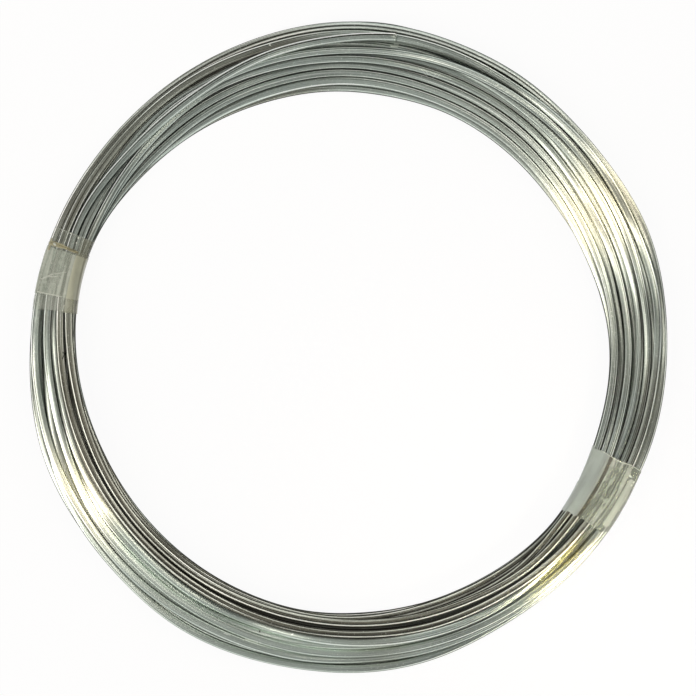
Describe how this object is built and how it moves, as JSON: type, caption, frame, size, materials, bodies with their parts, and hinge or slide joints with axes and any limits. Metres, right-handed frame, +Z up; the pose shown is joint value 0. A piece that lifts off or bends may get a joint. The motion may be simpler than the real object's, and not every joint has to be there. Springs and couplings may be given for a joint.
{
  "type": "coil of galvanised steel wire",
  "caption": "Round flat-lying coil of smooth galvanised steel wire, its nested turns held by clear adhesive tape bands, with the cut end resting on top.",
  "frame": {"origin": "middle of the coil's eye, on the surface that the coil lies on", "axes": "+Z up along the coil's axis; +X from the eye towards the side between the right tape band and the cut end"},
  "size_m": [0.161, 0.161, 0.0097],
  "materials": {
    "galvanised_wire": "dull zinc coating, fine grain",
    "clear_tape": "clear film, slightly yellowed glue"
  },
  "bodies": {
    "root": {"wire_coil": "galvanised_wire", "left_tape_band": "clear_tape", "right_tape_band": "clear_tape"}
  },
  "joints": []
}
